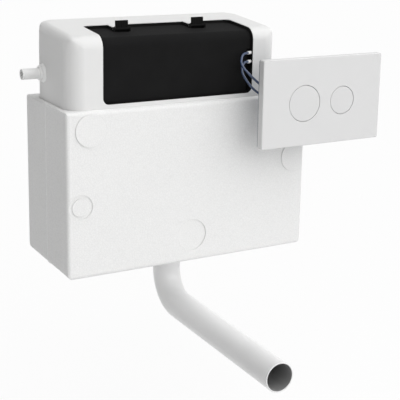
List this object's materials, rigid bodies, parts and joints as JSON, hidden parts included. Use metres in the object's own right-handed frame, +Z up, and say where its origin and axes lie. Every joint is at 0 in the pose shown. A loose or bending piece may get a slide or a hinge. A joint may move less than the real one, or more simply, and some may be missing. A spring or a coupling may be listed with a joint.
{
  "type": "concealed toilet cistern",
  "caption": "Concealed toilet cistern: moulded tank in a foam jacket, side inlet, catch-held access cover, air tubes to a dual button flush plate, and a bent flush pipe.",
  "frame": {"origin": "midway between the two wall screw holes, on the plane of the wall", "axes": "+X to the right as seen from the front, +Y towards the wall, +Z up"},
  "size_m": [0.55, 0.43, 0.4914],
  "materials": {
    "bead_foam": "fused white bead foam with a fine pebbled skin",
    "tank_plastic": "moulded white plastic, low sheen",
    "black_plastic": "moulded black plastic, satin",
    "seal_rubber": "soft black rubber",
    "steel_pin": "drawn stainless steel",
    "stub_plastic": "moulded white plastic",
    "air_tube": "dark slate blue flexible tube",
    "plate_plastic": "satin white plastic",
    "button_plastic": "satin white plastic",
    "frame_plastic": "moulded grey plastic",
    "valve_white": "moulded white plastic",
    "valve_green": "moulded green plastic",
    "valve_grey": "moulded grey plastic",
    "pipe_plastic": "smooth white drawn pipe"
  },
  "bodies": {
    "cistern": {"tank_body": "tank_plastic", "foam_jacket_front": "bead_foam", "foam_jacket_rear": "bead_foam", "cover_seal": "seal_rubber", "tube_stub_upper": "stub_plastic", "tube_stub_lower": "stub_plastic", "air_tube_full": "air_tube", "air_tube_half": "air_tube", "flush_plate": "plate_plastic", "plate_frame": "frame_plastic", "pump_cup_full": "stub_plastic", "pump_cup_half": "stub_plastic", "outlet_washer": "seal_rubber", "outlet_seat": "valve_white", "outlet_back_nut": "valve_white", "valve_cage": "valve_green", "valve_top": "valve_green", "actuator_cup_full": "valve_white", "actuator_cup_half": "valve_white", "flush_pipe": "pipe_plastic", "pipe_cone_seal": "seal_rubber", "flush_pipe_nut": "valve_white", "fill_valve_body": "valve_white", "inlet_lock_nut": "valve_white", "inlet_washer": "seal_rubber", "inlet_strainer": "valve_green", "fill_diaphragm": "seal_rubber", "fill_valve_cap": "valve_white", "lever_pin": "steel_pin", "fill_tube": "valve_white", "pump_bellows_full": "seal_rubber", "pump_bellows_half": "seal_rubber", "lift_bellows_full": "seal_rubber", "lift_bellows_half": "seal_rubber"},
    "cover": {"access_cover": "black_plastic", "catch_pins": "steel_pin"},
    "catch_left": {"cover_catch_left": "black_plastic"},
    "catch_right": {"cover_catch_right": "black_plastic"},
    "full_button": {"button_full": "button_plastic"},
    "half_button": {"button_half": "button_plastic"},
    "full_flush_valve": {"overflow_tube": "valve_white", "seat_seal": "seal_rubber", "full_flush_float": "valve_grey", "lifting_yoke": "valve_green"},
    "full_flush_plunger": {"plunger_full": "valve_grey"},
    "half_flush_lifter": {"half_flush_carrier": "valve_grey", "half_flush_float": "valve_grey"},
    "float": {"fill_float": "valve_grey", "float_rod": "valve_grey"},
    "lever": {"fill_lever": "valve_grey"}
  },
  "joints": [
    {"name": "cover_lift", "type": "slide", "parent": "cistern", "child": "cover", "axis": [0, 0, 1], "range_m": [0, 0.06]},
    {"name": "catch_left_tip", "type": "hinge", "parent": "cover", "child": "catch_left", "pos_m": [-0.094, -0.105, 0.03914], "axis": [1, 0, 0], "range_deg": [0, 60]},
    {"name": "catch_right_tip", "type": "hinge", "parent": "cover", "child": "catch_right", "pos_m": [0.037, -0.105, 0.03914], "axis": [1, 0, 0], "range_deg": [0, 60]},
    {"name": "button_full_press", "type": "slide", "parent": "cistern", "child": "full_button", "axis": [0, 1, 0], "range_m": [0, 0.006], "stiffness_N_per_m": 1500, "springref_m": -0.002, "deforming": ["pump_bellows_full"]},
    {"name": "button_half_press", "type": "slide", "parent": "cistern", "child": "half_button", "axis": [0, 1, 0], "range_m": [0, 0.006], "stiffness_N_per_m": 1500, "springref_m": -0.002, "deforming": ["pump_bellows_half"]},
    {"name": "full_valve_lift", "type": "slide", "parent": "cistern", "child": "full_flush_valve", "axis": [0, 0, 1], "range_m": [0, 0.018]},
    {"name": "full_plunger_lift", "type": "slide", "parent": "cistern", "child": "full_flush_plunger", "axis": [0, 0, 1], "range_m": [0, 0.018], "deforming": ["lift_bellows_full"]},
    {"name": "half_flush_lift", "type": "slide", "parent": "cistern", "child": "half_flush_lifter", "axis": [0, 0, 1], "range_m": [0, 0.012], "deforming": ["lift_bellows_half"]},
    {"name": "float_drop", "type": "slide", "parent": "cistern", "child": "float", "axis": [0, 0, -1], "range_m": [0, 0.012]},
    {"name": "lever_tip", "type": "hinge", "parent": "cistern", "child": "lever", "pos_m": [-0.169, -0.054, 0.004], "axis": [0, 1, 0], "range_deg": [0, 14.4]}
  ],
  "couplings": [
    {"joint": "full_valve_lift", "follows": "button_full_press", "ratio": 3},
    {"joint": "full_plunger_lift", "follows": "button_full_press", "ratio": 3},
    {"joint": "half_flush_lift", "follows": "button_half_press", "ratio": 2},
    {"joint": "lever_tip", "follows": "float_drop", "rad_per_m": 20.8}
  ]
}
